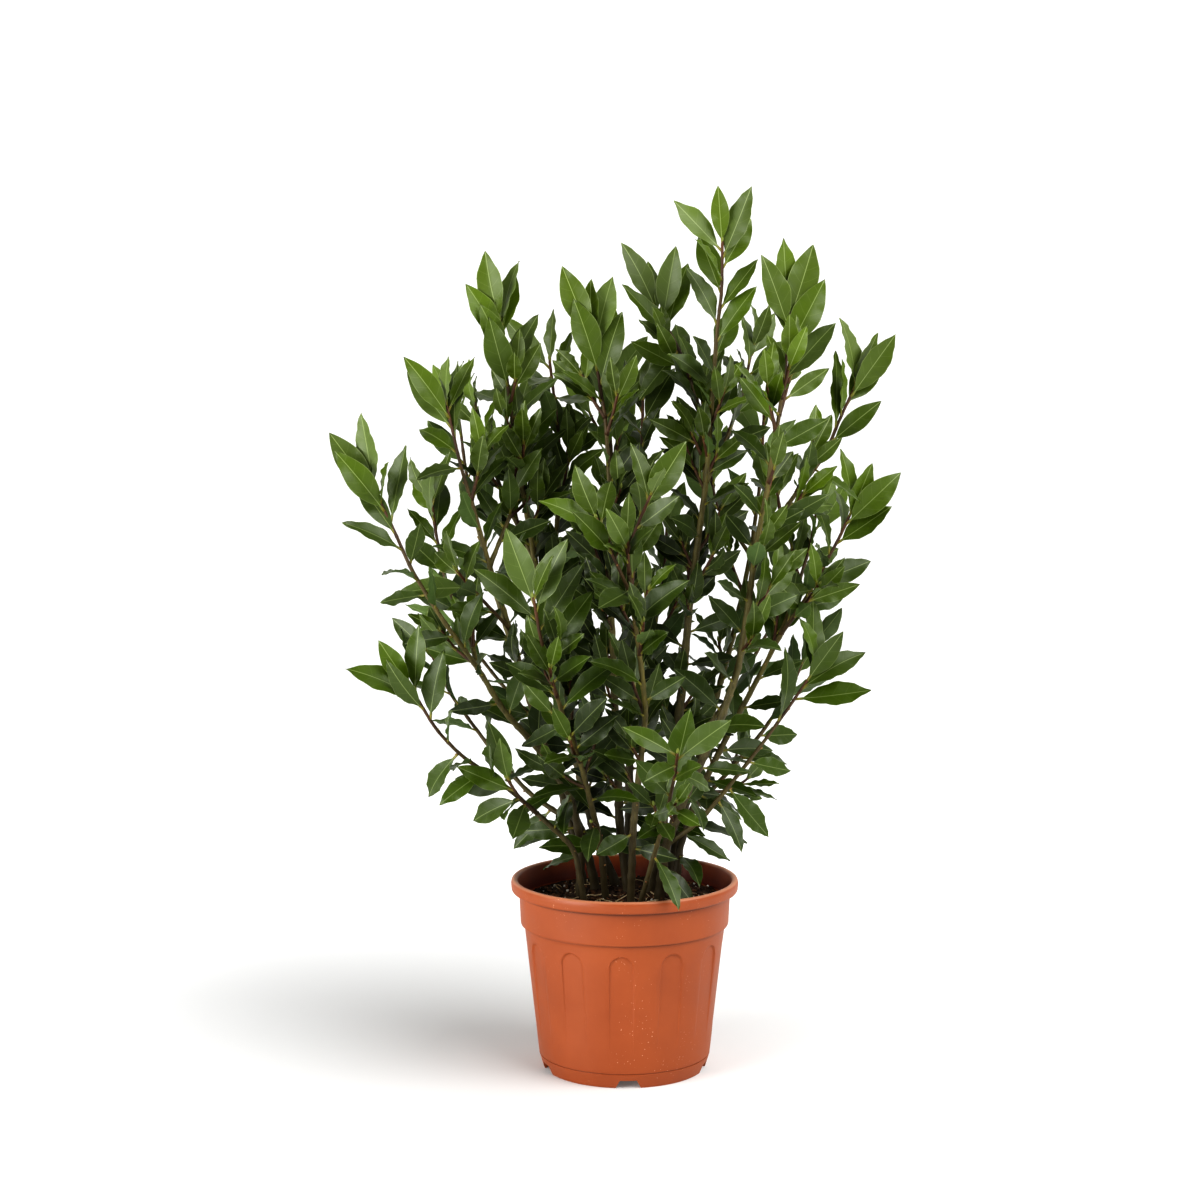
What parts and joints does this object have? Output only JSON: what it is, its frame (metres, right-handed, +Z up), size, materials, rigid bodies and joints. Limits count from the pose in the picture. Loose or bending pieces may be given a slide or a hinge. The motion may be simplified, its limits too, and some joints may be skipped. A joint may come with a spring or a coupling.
{
  "type": "potted bay laurel",
  "caption": "Bushy bay laurel with several woody stems, waved evergreen leaves and soil in a round tapered nursery pot with a collar, flutes and a notched foot.",
  "frame": {"origin": "on the floor, on the pot's axis", "axes": "+Z up; -Y is the plant's best side, the one seen in a front view; +X to the right in that view"},
  "size_m": [0.5863, 0.4851, 0.9199],
  "materials": {
    "pot_plastic": "satin",
    "potting_soil": "matte",
    "laurel_leaf": "satin",
    "laurel_wood": "matte"
  },
  "bodies": {
    "root": {"pot": "pot_plastic", "soil": "potting_soil", "leafy_stem_01": "laurel_leaf", "leafy_stem_02": "laurel_leaf", "leafy_stem_03": "laurel_leaf", "leafy_stem_04": "laurel_leaf", "leafy_stem_05": "laurel_leaf", "leafy_stem_06": "laurel_leaf", "leafy_stem_07": "laurel_leaf", "leafy_stem_08": "laurel_leaf", "leafy_stem_09": "laurel_leaf", "leafy_stem_10": "laurel_leaf", "leafy_stem_11": "laurel_leaf", "leafy_stem_12": "laurel_leaf", "leafy_stem_13": "laurel_leaf", "leafy_stem_14": "laurel_leaf"}
  },
  "joints": []
}
